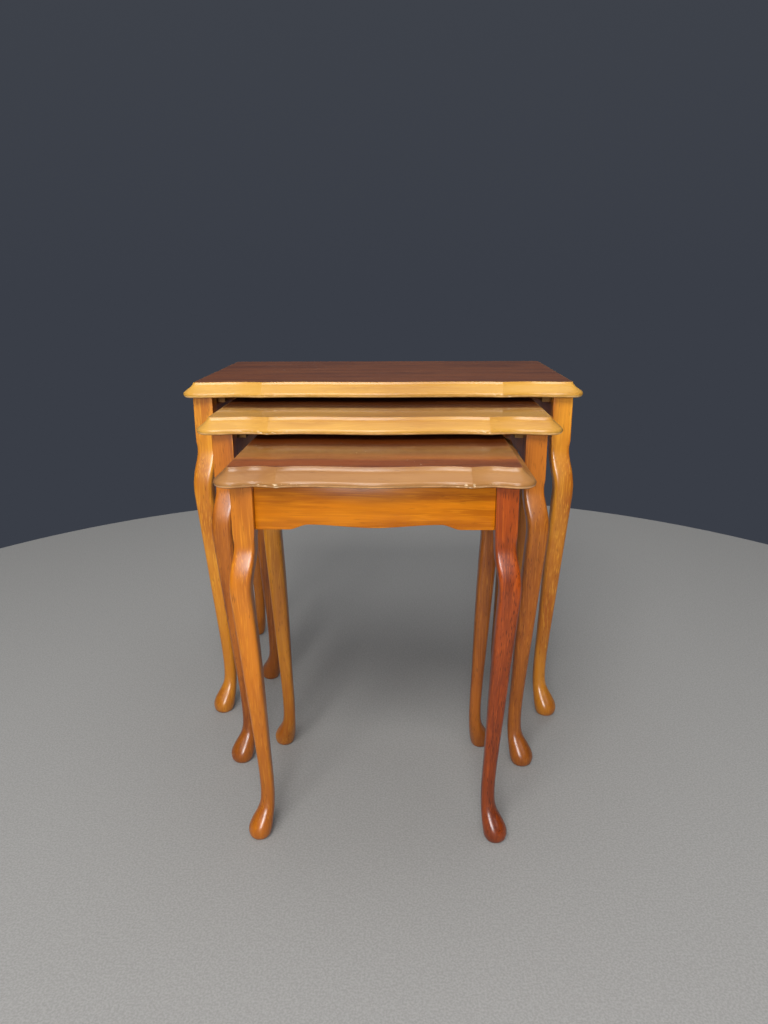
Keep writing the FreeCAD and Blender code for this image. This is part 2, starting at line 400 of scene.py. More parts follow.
@dataclass(frozen=True)
class WoodFinish:
    """Stained and lacquered wood.

    Args:
        name: The material's name.
        pale: Colour of the lightest wood.
        body: Colour of most of the wood.
        deep: Colour of the darkest bands.
        grain: The way that the grain runs.
        band_width: Width of a broad band of colour, in metres.
        fibre: How strongly the fine fibres show, 0 to 1.
        painted_shade_from: The place along Y behind which the colour is darkened as painted
            shade of the table above; None where no such shade is painted.
        fleck_share: How much of the surface has dark pores, 0 to 1.
        fleck_depth: How dark a pore is, 0 to 1.
        foot_stain_and_shade: How much darker an upright piece is at the floor, 0 to 1: partly
            stain and dust, partly painted shade of the light from above.
        dust: How many pale specks lie on the lacquer, 0 to 1.
        roughness: Roughness under the lacquer.
        specular: How much the wood itself shines.
        coat: Weight of the lacquer.
        coat_roughness: Roughness of the lacquer.
        coat_ior: Index of refraction of the lacquer.
        shift: Moves the pattern, so that two finishes differ.
    """

    name: str
    pale: Colour
    body: Colour
    deep: Colour
    grain: Grain
    band_width: float = 0.022
    fibre: float = 0.75
    painted_shade_from: Optional[float] = None
    fleck_share: float = 0.35
    fleck_depth: float = 0.6
    foot_stain_and_shade: float = 0.5
    dust: float = 0.0
    roughness: float = 0.42
    specular: float = 0.08
    coat: float = 0.6
    coat_roughness: float = 0.12
    coat_ior: float = 1.5
    shift: float = 0.0

    def bands(self, graph: ShaderGraph) -> Value:
        """Broad and fine streaks of colour that follow the grain."""
        wander = graph.noise(graph.stretched(self.grain.scale(9.0, 2.2), self.shift), 1.0)
        bend = graph.add(
            "ShaderNodeVectorMath",
            {"operation": "SCALE"},
            {0: wander.out("Color"), "Scale": 0.03},
        )
        cross = 1.0 / self.band_width
        broad = graph.noise(
            graph.stretched(self.grain.scale(cross, cross / 9), self.shift, bend), 3.0, 0.55
        )
        fine = graph.noise(
            graph.stretched(self.grain.scale(620.0, 14.0), self.shift + 3.1, bend), 2.0
        )
        streaks = graph.mix(broad.smooth(0.34, 0.66), self.deep, self.body)
        return graph.mix(fine.smooth(0.46, 0.80) * self.fibre, streaks, self.pale)

    def pores(self, graph: ShaderGraph) -> Value:
        """Short dark pores along the grain, 1 in a pore."""
        cells = graph.add(
            "ShaderNodeTexVoronoi",
            {"feature": "F1"},
            {
                "Vector": graph.stretched(self.grain.scale(680.0, 62.0), self.shift + 1.3),
                "Scale": 1.0,
            },
        )
        chosen = graph.noise(
            graph.stretched(self.grain.scale(150.0, 26.0), self.shift + 5.2), 2.0
        ).smooth(0.66 - 0.3 * self.fleck_share, 0.74 - 0.3 * self.fleck_share)
        return (1.0 - cells.smooth(0.14, 0.36)) * chosen

    def specks(self, graph: ShaderGraph) -> Value:
        """Pale dust on the lacquer, 1 in a speck."""
        spots = graph.add(
            "ShaderNodeTexVoronoi",
            {"feature": "F1"},
            {"Vector": graph.stretched((95.0, 95.0, 95.0), self.shift + 2.2), "Scale": 1.0},
        )
        few = graph.noise(graph.stretched((40.0, 40.0, 40.0), self.shift + 8.0), 0.0)
        return (1.0 - spots.smooth(0.05, 0.09)) * few.smooth(0.58, 0.66) * self.dust

    def colour(self, graph: ShaderGraph, pores: Value, specks: Value) -> Value:
        """The base colour before any wear."""
        soft = graph.noise(graph.stretched(self.grain.scale(26.0, 7.0), self.shift + 7.0), 2.0)
        tone = graph.mix(soft.smooth(0.3, 0.75) * 0.35, self.bands(graph), self.pale)
        # Painted shade: the wood darkens behind a place along Y, standing in for the shade of the
        # table above.
        if self.painted_shade_from is not None:
            depth = graph.add("ShaderNodeSeparateXYZ", {}, {"Vector": graph.place}).out("Y")
            painted_shade = (depth + soft * 0.02).smooth(self.painted_shade_from, self.painted_shade_from + 0.045)
            tone = graph.mix(painted_shade * 0.75, tone, tuple(0.5 * c for c in self.deep))
        # Upright pieces darken towards the floor: partly stain and dust, partly painted shade of
        # the light from above.
        if self.grain is Grain.UPRIGHT:
            height = graph.add("ShaderNodeSeparateXYZ", {}, {"Vector": graph.place}).out("Z")
            low = (1.0 - height.smooth(0.0, 0.40)) * self.foot_stain_and_shade
            tone = graph.mix(low, tone, tuple(0.55 * c for c in self.deep))
        stained = graph.mix(pores * self.fleck_depth, tone, tuple(0.22 * c for c in self.deep))
        return graph.mix(specks, stained, paint(214, 204, 190))

    def build(self) -> bpy.types.Material:
        """Make the material."""
        graph = ShaderGraph(self.name)
        pores, specks = self.pores(graph), self.specks(graph)
        return self.finish(graph, self.colour(graph, pores, specks), pores, specks)

    def finish(
        self, graph: ShaderGraph, colour: Value, pores: Value, dull: Value
    ) -> bpy.types.Material:
        """Put the lacquer on.

        Args:
            graph: The material's graph.
            colour: The base colour.
            pores: Where the pores are, which the lacquer only partly fills.
            dull: Where the lacquer is dusty or gone.

        Returns:
            The material.
        """
        smears = graph.noise(graph.stretched((38.0, 38.0, 38.0), self.shift + 4.0), 3.0, 0.6)
        orange_peel = graph.noise(graph.stretched((260.0, 260.0, 260.0), self.shift), 1.0)
        height = orange_peel * 0.25 - pores - dull * 0.6
        roughness = smears.smooth(0.35, 0.75) * 0.12 + self.roughness + dull * 0.25
        return graph.close(
            Base_Color=colour,
            Roughness=roughness,
            Specular_IOR_Level=self.specular,
            Coat_Weight=(1.0 - dull) * self.coat,
            Coat_Roughness=self.coat_roughness,
            Coat_IOR=self.coat_ior,
            Normal=graph.bump(height, 0.35, 0.00025),
        )


@dataclass(frozen=True)
class MouldingFinish(WoodFinish):
    """The moulded edge of a top, whose lacquer is chipped on the nose, with painted light and
    shade.

    Args:
        bare: Colour of the wood where the lacquer is chipped.
        worn_and_highlight: Colour of the pale line along the nose, partly rubbed lacquer and
            partly a painted highlight.
        under: Colour of the painted shade below the nose.
    """

    bare: Colour = (0.8, 0.6, 0.35)
    worn_and_highlight: Colour = (0.9, 0.62, 0.3)
    under: Colour = (0.2, 0.08, 0.02)

    RUB_AND_HIGHLIGHT_TURN = 0.79

    def build(self) -> bpy.types.Material:
        """Make the material, with the wear that the top's own attributes place."""
        graph = ShaderGraph(self.name)
        pores, specks = self.pores(graph), self.specks(graph)
        turn = graph.add("ShaderNodeAttribute", {"attribute_name": MouldedTop.TURN}).out("Fac")
        nick = graph.add("ShaderNodeAttribute", {"attribute_name": MouldedTop.NICK}).out("Fac")
        patchy = graph.noise(graph.stretched((55.0, 55.0, 55.0), self.shift + 6.0), 3.0)
        # A pale line along the nose: partly rubbed lacquer, partly a painted highlight.
        line = 1.0 - abs(turn - self.RUB_AND_HIGHLIGHT_TURN).smooth(0.02, 0.09)
        rub_and_highlight = line * (patchy.smooth(0.35, 0.65) * 0.5 + 0.4)
        # Painted shade: the underside of the nose is darkened towards the under colour.
        below = turn.smooth(0.84, 0.93)
        rim = (1.0 - turn.smooth(0.10, 0.24)) * 0.30
        colour = self.colour(graph, pores, specks)
        colour = graph.mix(rim, colour, self.deep)
        colour = graph.mix(below * 0.85, colour, self.under)
        colour = graph.mix(rub_and_highlight, colour, self.worn_and_highlight)
        colour = graph.mix(nick, colour, self.bare)
        return self.finish(graph, colour, pores, nick)


@dataclass(frozen=True)
class SteelFinish:
    """Zinc-plated steel of the screws."""

    name: str = "plated_steel"

    def build(self) -> bpy.types.Material:
        """Make the material."""
        graph = ShaderGraph(self.name)
        spots = graph.noise(graph.stretched((900.0, 900.0, 900.0)), 3.0)
        tarnish = spots.smooth(0.45, 0.7)
        return graph.close(
            Base_Color=graph.mix(tarnish, paint(186, 182, 170), paint(120, 110, 96)),
            Metallic=1.0 - tarnish * 0.3,
            Roughness=tarnish * 0.25 + 0.32,
            Normal=graph.bump(spots, 0.2, 0.0001),
        )


@dataclass(frozen=True)
class FloorFinish:
    """A plain pale floor."""

    name: str = "pale_floor"

    def build(self) -> bpy.types.Material:
        """Make the material."""
        graph = ShaderGraph(self.name)
        mottle = graph.noise(graph.stretched((420.0, 420.0, 420.0)), 3.0)
        return graph.close(
            Base_Color=graph.mix(
                mottle.smooth(0.3, 0.7), paint(137, 136, 134), paint(152, 151, 149)
            ),
            Roughness=mottle * 0.1 + 0.8,
            Normal=graph.bump(mottle, 0.15, 0.0006),
        )


# ---------------------------------------------------------------- meshes
class ShapeTree(Graph):
    """A geometry node tree with named inputs, used once on one object."""

    def __init__(self, name: str, sizes: Mapping[str, tuple[str, Any]]) -> None:
        """Make the tree.

        Args:
            name: The tree's name.
            sizes: Each input's socket type and value, by name.
        """
        super().__init__(bpy.data.node_groups.new(name, "GeometryNodeTree"))
        face = self.tree.interface
        face.new_socket(name="Geometry", in_out="INPUT", socket_type="NodeSocketGeometry")
        face.new_socket(name="Geometry", in_out="OUTPUT", socket_type="NodeSocketGeometry")
        self.sizes = {}
        for label, (kind, value) in sizes.items():
            socket = face.new_socket(name=label, in_out="INPUT", socket_type=kind)
            self.sizes[socket.identifier] = value
        self.entry = self.add("NodeGroupInput")

    def size(self, name: str) -> Value:
        """A named input."""
        return self.entry.out(name)

    def keep(self, shape: Value, name: str, value: Value, kind: str = "FLOAT") -> Value:
        """Store a value as a named attribute on the points."""
        return self.add(
            "GeometryNodeStoreNamedAttribute",
            {"data_type": kind, "domain": "POINT"},
            {"Geometry": shape, "Name": name, "Value": value},
        )

    def kept(self, name: str, kind: str = "FLOAT") -> Value:
        """Read a named attribute."""
        return self.add("GeometryNodeInputNamedAttribute", {"data_type": kind}, {"Name": name})

    def vector_math(self, operation: str, first: Any, second: Any) -> Value:
        """Vector arithmetic; SCALE takes a number second."""
        key: Union[int, str] = "Scale" if operation == "SCALE" else 1
        return self.add("ShaderNodeVectorMath", {"operation": operation}, {0: first, key: second})

    def curve(self, points: np.ndarray, at: Value) -> Value:
        """A float curve through the points, read at a value from 0 to 1."""
        return self.add("ShaderNodeFloatCurve", {"points": points}, {"Value": at})

    def dressed(self, shape: Value, label: str) -> Value:
        """The shape in the material of a named input."""
        return self.add(
            "GeometryNodeSetMaterial", {}, {"Geometry": shape, "Material": self.size(label)}
        )

    def welded(self, shape: Value, distance: float, sharp: Value) -> Value:
        """The shape with near points joined, shaded smooth apart from its sharp edges."""
        shape = self.add(
            "GeometryNodeMergeByDistance", {}, {"Geometry": shape, "Distance": distance}
        )
        shape = self.add(
            "GeometryNodeSetShadeSmooth", {}, {"Geometry": shape, "Shade Smooth": True}
        )
        return self.add(
            "GeometryNodeSetShadeSmooth", {"domain": "EDGE"},
            {"Geometry": shape, "Selection": sharp, "Shade Smooth": False},
        )

    def finish(self, shape: Value) -> None:
        """End the tree with that shape."""
        real = self.add("GeometryNodeRealizeInstances", {}, {"Geometry": shape})
        self.add("NodeGroupOutput", {}, {"Geometry": real})

    def apply(self, name: str, base: bpy.types.Mesh) -> bpy.types.Mesh:
        """Run the tree on a mesh.

        Args:
            name: Name of the finished mesh.
            base: The mesh that the tree starts from.

        Returns:
            The result as a plain closed mesh, facing outwards.
        """
        holder = bpy.data.objects.new(name + "_base", base)
        bpy.context.scene.collection.objects.link(holder)
        modifier = holder.modifiers.new("shape", "NODES")
        modifier.node_group = self.tree
        for identifier, value in self.sizes.items():
            modifier[identifier] = value
        graph = bpy.context.evaluated_depsgraph_get()
        mesh = bpy.data.meshes.new_from_object(
            holder.evaluated_get(graph), preserve_all_data_layers=True, depsgraph=graph
        )
        mesh.name = name
        holder.modifiers.remove(modifier)
        bpy.data.objects.remove(holder)
        bpy.data.meshes.remove(base)
        face_outwards(mesh)
        return mesh


def face_outwards(mesh: bpy.types.Mesh) -> None:
    """Turn every face of a closed mesh outwards."""
    shape = bmesh.new()
    shape.from_mesh(mesh)
    bmesh.ops.recalc_face_normals(shape, faces=shape.faces)
    shape.to_mesh(mesh)
    shape.free()


def add_piece(
    name: str, mesh: bpy.types.Mesh, body: str, node: str
) -> bpy.types.Object:
    """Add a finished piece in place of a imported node.

    Args:
        name: The piece's name.
        mesh: Its mesh, already in its place.
        body: The body that it rides on.
        node: The node that it stands for.

    Returns:
        The piece's object.
    """
    piece = bpy.data.objects.new(name, mesh)
    bpy.context.scene.collection.objects.link(piece)
    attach(piece, body)
    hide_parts(node)
    LOG.info("%s: %d faces on %s", name, len(mesh.polygons), body)
    return piece


# ---------------------------------------------------------------- tops
@dataclass
class MouldedTop:
    """A top with a serpentine front and a coved edge that runs out to a rounded nose."""

    table: str
    crown: float
    surface: WoodFinish
    edge: MouldingFinish
    below: WoodFinish
    thickness: float = 0.0215
    cove_reach: float = 0.0155
    nose_drop: float = 0.0165
    front_radius: float = 0.0195
    back_radius: float = 0.027
    wave_depth: float = 0.006
    arris: float = 0.0006
    nick_depth: float = 0.0007

    HOME = "home"
    INWARD = "inward"
    TURN = "edge_turn"
    NICK = "edge_nick"
    CUSP = "at_cusp"
    NEAR = "near_cusp"
    RIM = "at_rim"
    NOSE_TURN = 0.74
    CUSP_BLEND = 0.022

    def __post_init__(self) -> None:
        """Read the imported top's box."""
        self.low, self.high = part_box(f"{self.table}_top")
        self.middle = (self.low.x + self.high.x) / 2

    def front(self) -> tuple[np.ndarray, np.ndarray]:
        """The serpentine front.

        Returns:
            The distances from the middle, and how far each place stands forward, as a share of
            the wave.
        """
        half = (self.high.x - self.low.x) / 2
        width = 2 * half
        end, cusp = half - self.front_radius, half - 0.20 * width
        near, far = half - 0.125 * width, half - 0.28 * width
        slope = 1 / (0.05 * width)
        left = np.linspace(-end, -cusp, 90)
        middle = np.linspace(-cusp, cusp, 241)
        sweep = cubic_through((-end, -near, -cusp), (1.0, 0.0, 0.8), left, (0.0, slope))
        swell = cubic_through(
            (-cusp, -far, 0.0, far, cusp),
            (0.8, 0.05, self.crown, 0.05, 0.8),
            middle,
            (-slope, slope),
        )
        places = np.concatenate([left, middle[1:-1], -left[::-1]])
        return places, np.concatenate([sweep, swell[1:-1], sweep[::-1]])

    def outline(self) -> bpy.types.Mesh:
        """The nose line seen from above, as a closed loop that knows which way is inwards."""
        half = (self.high.x - self.low.x) / 2
        cusp = half - 0.40 * half
        places, wave = self.front()
        points, inward = [], []
        for x, share in zip(places, wave):
            points.append((x, self.low.y + self.wave_depth * (1 - share), 0.0))
            inward.append((0.0, 1.0, 0.0))
        corners = (
            (half - self.front_radius, self.low.y + self.front_radius, self.front_radius, -90),
            (half - self.back_radius, self.high.y - self.back_radius, self.back_radius, 0),
            (self.back_radius - half, self.high.y - self.back_radius, self.back_radius, 90),
            (self.front_radius - half, self.low.y + self.front_radius, self.front_radius, 180),
        )
        for number, (x, y, radius, start) in enumerate(corners):
            turns = np.radians(start + np.linspace(0, 90, 19))
            if number == 0:
                turns = turns[1:]
            if number == 3:
                turns = turns[:-1]
            arc = [(x + radius * math.cos(t), y + radius * math.sin(t), 0.0) for t in turns]
            towards = [(-math.cos(t), -math.sin(t), 0.0) for t in turns]
            if number:
                last, steps = np.array(points[-1]), 24
                for step in range(1, steps):
                    points.append(tuple(last + (np.array(arc[0]) - last) * step / steps))
                    inward.append(inward[-1])
            points.extend(arc)
            inward.extend(towards)
        count = len(points)
        mesh = bpy.data.meshes.new("outline")
        spots = np.array(points)
        placed = spots + (self.middle, 0.0, 0.0)
        mesh.from_pydata(placed.tolist(), [(i, (i + 1) % count) for i in range(count)], [])
        on_front = np.arange(count) < len(places)
        off_cusp = np.abs(np.abs(spots[:, 0]) - cusp)
        near = np.exp(-(off_cusp / self.CUSP_BLEND) ** 2)
        layers = (
            (self.INWARD, "FLOAT_VECTOR", "vector", np.array(inward).ravel()),
            (self.CUSP, "FLOAT", "value", (on_front & (off_cusp < 1e-5)).astype(float)),
            (self.NEAR, "FLOAT", "value", np.where(on_front, near, 0.0)),
        )
        for name, kind, slot, values in layers:
            mesh.attributes.new(name, kind, "POINT").data.foreach_set(slot, values)
        return mesh

    def profile(self) -> np.ndarray:
        """The edge's section from the upper surface round to the underside.

        Returns:
            A row for each point: its inset and its drop, both from 0 to 1.
        """
        cove = np.array(
            [(1.0, 0.0), (0.88, 0.23), (0.65, 0.44), (0.40, 0.61), (0.17, 0.77), (0.04, 0.89),
             (0.0, 1.0)]
        ) * (self.cove_reach, self.nose_drop)
        run = np.concatenate([[0], np.cumsum(np.linalg.norm(np.diff(cove, axis=0), axis=1))])
        start = self.arris / run[-1]
        at = np.linspace(start, 1, 19) * run[-1]
        body = np.stack([cubic_through(run, cove[:, 0], at), cubic_through(run, cove[:, 1], at)], 1)
        slope = body[1] - body[0]
        slope /= np.linalg.norm(slope)
        rounding = []
        edge = np.array([self.cove_reach, 0.0])
        for step in range(6):
            share = step / 6
            flat = edge + np.array([self.arris, 0.0]) * (1 - share)
            steep = edge + (body[0] - edge) * share
            rounding.append(flat * (1 - share) + steep * share)
        nose_radius = self.thickness - self.nose_drop
        nose = []
        for turn in np.radians(np.linspace(90 / 13, 90, 13)):
            nose.append((nose_radius * (1 - math.cos(turn)),
                         self.nose_drop + nose_radius * math.sin(turn)))
        rows = np.concatenate([rounding, body, nose])
        rows[:, 0] = np.clip(rows[:, 0], 0.0, None)
        return rows / (self.cove_reach * 1.1, self.thickness)

    def tree(self) -> ShapeTree:
        """The tree that sweeps the section round the outline and closes both faces."""
        rows = self.profile()
        steps = np.linspace(0, 1, len(rows))
        tree = ShapeTree(
            "moulded_top",
            {
                "Thickness": ("NodeSocketFloat", self.thickness),
                "Reach": ("NodeSocketFloat", self.cove_reach * 1.1),
                "Height": ("NodeSocketFloat", self.high.z),
                "Section points": ("NodeSocketInt", len(rows)),
                "Nick depth": ("NodeSocketFloat", self.nick_depth),
                "Surface": ("NodeSocketMaterial", self.surface.build()),
                "Edge": ("NodeSocketMaterial", self.edge.build()),
                "Below": ("NodeSocketMaterial", self.below.build()),
            },
        )
        loop = tree.add("GeometryNodeMeshToCurve", {}, {"Mesh": tree.entry})
        place = tree.add("GeometryNodeInputPosition")
        loop = tree.keep(loop, self.HOME, place, "FLOAT_VECTOR")
        line = tree.add(
            "GeometryNodeCurvePrimitiveLine", {}, {"Start": (0, 0, 0), "End": (0.001, 0, 0)}
        )
        line = tree.add(
            "GeometryNodeResampleCurve", {"mode": "COUNT"},
            {"Curve": line, "Count": tree.size("Section points")},
        )
        line = tree.keep(line, self.TURN, tree.add("GeometryNodeSplineParameter").out("Factor"))
        band = tree.add("GeometryNodeCurveToMesh", {}, {"Curve": loop, "Profile Curve": line})
        turn = tree.kept(self.TURN)
        inset = tree.curve(np.stack([steps, rows[:, 0]], 1), turn) * tree.size("Reach")
        drop = tree.curve(np.stack([steps, rows[:, 1]], 1), turn) * tree.size("Thickness")
        round_section = tree.add("ShaderNodeCombineXYZ", {}, {"Z": turn * 0.06})
        home = tree.kept(self.HOME, "FLOAT_VECTOR")
        chips = tree.add(
            "ShaderNodeTexNoise", {},
            {
                "Vector": tree.vector_math("ADD", home, round_section),
                "Scale": 240.0,
                "Detail": 1.0,
            },
        ).smooth(0.58, 0.68)
        on_nose = 1.0 - abs(turn - self.NOSE_TURN).smooth(0.05, 0.14)
        nick = chips * on_nose * tree.kept(self.NEAR)
        band = tree.keep(band, self.NICK, nick)
        reach = inset + tree.kept(self.NICK) * tree.size("Nick depth")
        band = self.drawn_in(tree, band, reach, tree.size("Height") - drop)
        inside = turn.smooth(0.0, 0.001) * (1.0 - turn).smooth(0.0, 0.001)
        shapes = [tree.dressed(tree.keep(band, self.RIM, inside), "Edge")]
        for share, row, label in ((0.0, rows[0], "Surface"), (1.0, rows[-1], "Below")):
            flat = self.drawn_in(tree, loop, row[0] * tree.size("Reach"), 0.0)
            flat = tree.add("GeometryNodeFillCurve", {"mode": "TRIANGLES"}, {"Curve": flat})
            height = tree.size("Height") - row[1] * tree.size("Thickness")
            up = tree.add("ShaderNodeCombineXYZ", {}, {"Z": height})
            flat = tree.add("GeometryNodeTransform", {}, {"Geometry": flat, "Translation": up})
            flat = tree.keep(flat, self.TURN, tree.add("ShaderNodeValue") * 0.0 + share)
            shapes.append(tree.dressed(flat, label))
        whole = tree.add("GeometryNodeJoinGeometry", {}, {"Geometry": shapes})
        crease = tree.kept(self.CUSP) > 0.99
        rim = 1.0 - tree.kept(self.RIM)
        tree.finish(tree.welded(whole, 0.00002, (crease + (rim > 0.99)) > 0.5))
        return tree

    def drawn_in(self, tree: ShapeTree, shape: Value, inset: Operand, height: Operand) -> Value:
        """Move points from the outline inwards and to a height."""
        inward = tree.vector_math("SCALE", tree.kept(self.INWARD, "FLOAT_VECTOR"), inset)
        level = tree.add("ShaderNodeCombineXYZ", {}, {"Z": height})
        home = tree.vector_math("ADD", tree.kept(self.HOME, "FLOAT_VECTOR"), inward)
        place = tree.vector_math("ADD", home, level)
        return tree.add("GeometryNodeSetPosition", {}, {"Geometry": shape, "Position": place})

    def build(self) -> bpy.types.Object:
        """Make the top and put it in its place."""
        name = f"{self.table}_moulded_top"
        mesh = self.tree().apply(name, self.outline())
        return add_piece(name, mesh, f"{self.table}_table", f"{self.table}_top")


# ---------------------------------------------------------------- legs
@dataclass
class CabrioleLeg:
    """A cabriole leg with a square block above and a spoon foot below."""

    node: str
    body: str
    centre: Vector
    half: float
    height: float
    side: int
    end: int
    finish: WoodFinish

    ROWS = 168
    AROUND = 56
    SPREAD = 1.6
    REACH_LIMIT = 1.7
    SQUARE_LIMIT = 42.0
    SECTIONS = (
        (0.000, 1.08, 0.66, 2.0), (0.010, 1.33, 0.90, 2.0), (0.028, 1.36, 1.05, 2.0),
        (0.052, 0.98, 1.16, 2.1), (0.085, 0.32, 1.25, 2.3), (0.130, 0.09, 1.29, 2.5),
        (0.250, 0.27, 1.15, 3.0), (0.403, 0.70, 0.98, 3.5), (0.564, 1.14, 0.76, 4.0),
        (0.695, 1.50, 0.50, 4.5), (0.750, 1.56, 0.48, 5.0), (0.800, 1.30, 0.80, 6.0),
        (0.840, 0.99, 0.95, 8.0), (0.868, 0.99, 0.97, 9.0),
    )

    def sections(self) -> np.ndarray:
        """The leg's sections.

        Returns:
            A row for each of many steps up the leg: the step, and the reach outwards, the
            reach inwards and the squareness, each from 0 to 1.
        """
        shares, outwards, inwards, square = np.array(self.SECTIONS).T
        step = shares ** (1 / self.SPREAD)
        at = np.linspace(0, 1, 150)
        inside = np.minimum(at, step[-1])
        rows = [at]
        block = at > step[-1]
        for values, above, limit in (
            (outwards, 1.0, self.REACH_LIMIT),
            (inwards, 1.0, self.REACH_LIMIT),
            (square, 40.0, self.SQUARE_LIMIT),
        ):
            curve = cubic_through(step, values, inside)
            rows.append(np.where(block, above, curve) / limit)
        return np.clip(np.stack(rows, 1), 0.0, 1.0)

    def tree(self) -> ShapeTree:
        """The tree that turns a grid into the leg."""
        rows = self.sections()
        tree = ShapeTree(
            "cabriole_leg",
            {
                "Half block": ("NodeSocketFloat", self.half),
                "Height": ("NodeSocketFloat", self.height),
                "Rows": ("NodeSocketInt", self.ROWS),
                "Points around": ("NodeSocketInt", self.AROUND + 1),
                "Centre": ("NodeSocketVector", self.centre),
                "Outwards X": ("NodeSocketFloat", float(self.side)),
                "Outwards Y": ("NodeSocketFloat", float(self.end)),
                "Wood": ("NodeSocketMaterial", self.finish.build()),
            },
        )
        grid = tree.add(
            "GeometryNodeMeshGrid", {},
            {"Size X": 1.0, "Size Y": 1.0, "Vertices X": tree.size("Points around"),
             "Vertices Y": tree.size("Rows")},
        )
        split = tree.add(
            "ShaderNodeSeparateXYZ", {}, {"Vector": tree.add("GeometryNodeInputPosition")}
        )
        angle = (split.out("X") + 0.5) * (2 * math.pi)
        last = tree.size("Rows") - 1.0
        row = (split.out("Y") + 0.5) * last
        step = tree.add(
            "ShaderNodeClamp", {}, {"Value": (row - 1.0) / (last - 2.0), "Min": 0.0, "Max": 1.0}
        )
        open_row = (row > 0.5) * (last - row > 0.5)
        outwards, inwards, square = (
            tree.curve(rows[:, (0, column)], step) for column in (1, 2, 3)
        )
        outwards, inwards = outwards * self.REACH_LIMIT, inwards * self.REACH_LIMIT
        power = 2.0 / (square * self.SQUARE_LIMIT)
        half = tree.size("Half block")
        size = (outwards + inwards) * 0.5 * half * open_row
        shift = (outwards - inwards) * 0.5 * half
        cosine = tree.add("ShaderNodeMath", {"operation": "COSINE"}, {0: angle})
        sine = tree.add("ShaderNodeMath", {"operation": "SINE"}, {0: angle})
        across = (cosine.sign() * abs(cosine) ** power * size + shift) * tree.size("Outwards X")
        deep = (sine.sign() * abs(sine) ** power * size + shift) * tree.size("Outwards Y")
        up = step ** self.SPREAD * tree.size("Height")
        place = tree.add("ShaderNodeCombineXYZ", {}, {"X": across, "Y": deep, "Z": up})
        place = tree.vector_math("ADD", place, tree.size("Centre"))
        leg = tree.add("GeometryNodeSetPosition", {}, {"Geometry": grid, "Position": place})
        turned = tree.add("GeometryNodeInputMeshEdgeAngle") > math.radians(50)
        tree.finish(tree.dressed(tree.welded(leg, 0.00001, turned), "Wood"))
        return tree

    def build(self) -> bpy.types.Object:
        """Make the leg and put it in its place."""
        name = self.node.replace("_leg_", "_cabriole_leg_")
        mesh = self.tree().apply(name, bpy.data.meshes.new("grid"))
        return add_piece(name, mesh, self.body, self.node)


# ---------------------------------------------------------------- rails and apron
@dataclass
class ShapedRail:
    """A rail or an apron: a board whose lower edge may be shaped."""

    node: str
    body: str
    slot: str
    along_x: bool
    shaped: bool
    finish: WoodFinish
    flat: float = 0.038
    ogee: float = 0.023
    rise: float = 0.006
    sag: float = 0.004
    easing: float = 0.0007

    def lower_edge(self, half: float) -> list[tuple[float, float]]:
        """Points of the lower edge.

        Args:
            half: Half the rail's length.

        Returns:
            The distance from the middle of the rail and the height above its foot.
        """
        if not self.shaped:
            return [(-half, 0.0), (half, 0.0)]
        start = half - self.flat
        peak = start - self.ogee
        points = [(half, 0.0)]
        for share in np.linspace(0, 1, 13):
            points.append((start - self.ogee * share, self.rise * (3 - 2 * share) * share ** 2))
        for share in np.linspace(0, 1, 13)[1:]:
            points.append((peak * (1 - share), self.rise - self.sag * (3 - 2 * share) * share ** 2))
        return [(-x, z) for x, z in points] + points[-2::-1]

    def build(self) -> bpy.types.Object:
        """Make the board and put it in its place."""
        low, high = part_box(self.node)
        ends = (low.x, high.x) if self.along_x else (low.y, high.y)
        middle, half = sum(ends) / 2, (ends[1] - ends[0]) / 2
        outline = [(middle + along, low.z + up) for along, up in self.lower_edge(half)]
        outline += [(ends[1], high.z), (ends[0], high.z)]
        shape = bmesh.new()
        faces = []
        for depth in (0, 1):
            if self.along_x:
                corners = [(along, (low.y, high.y)[depth], up) for along, up in outline]
            else:
                corners = [((low.x, high.x)[depth], along, up) for along, up in outline]
            faces.append([shape.verts.new(corner) for corner in corners])
        shape.faces.new(faces[0])
        shape.faces.new(faces[1])
        for i in range(len(outline)):
            j = (i + 1) % len(outline)
            shape.faces.new((faces[0][i], faces[0][j], faces[1][j], faces[1][i]))
        bmesh.ops.recalc_face_normals(shape, faces=shape.faces)
        sharp = [edge for edge in shape.edges if edge.calc_face_angle(0.0) > math.radians(40)]
        bmesh.ops.bevel(
            shape, geom=sharp, offset=self.easing, segments=3, profile=0.5, affect="EDGES"
        )
        for face in shape.faces:
            face.smooth = True
        name = f"{self.node}_board"
        mesh = bpy.data.meshes.new(name)
        shape.to_mesh(mesh)
        shape.free()
        mesh.set_sharp_from_angle(angle=math.radians(35))
        mesh.materials.append(self.finish.build())
        return add_piece(name, mesh, self.body, self.node)


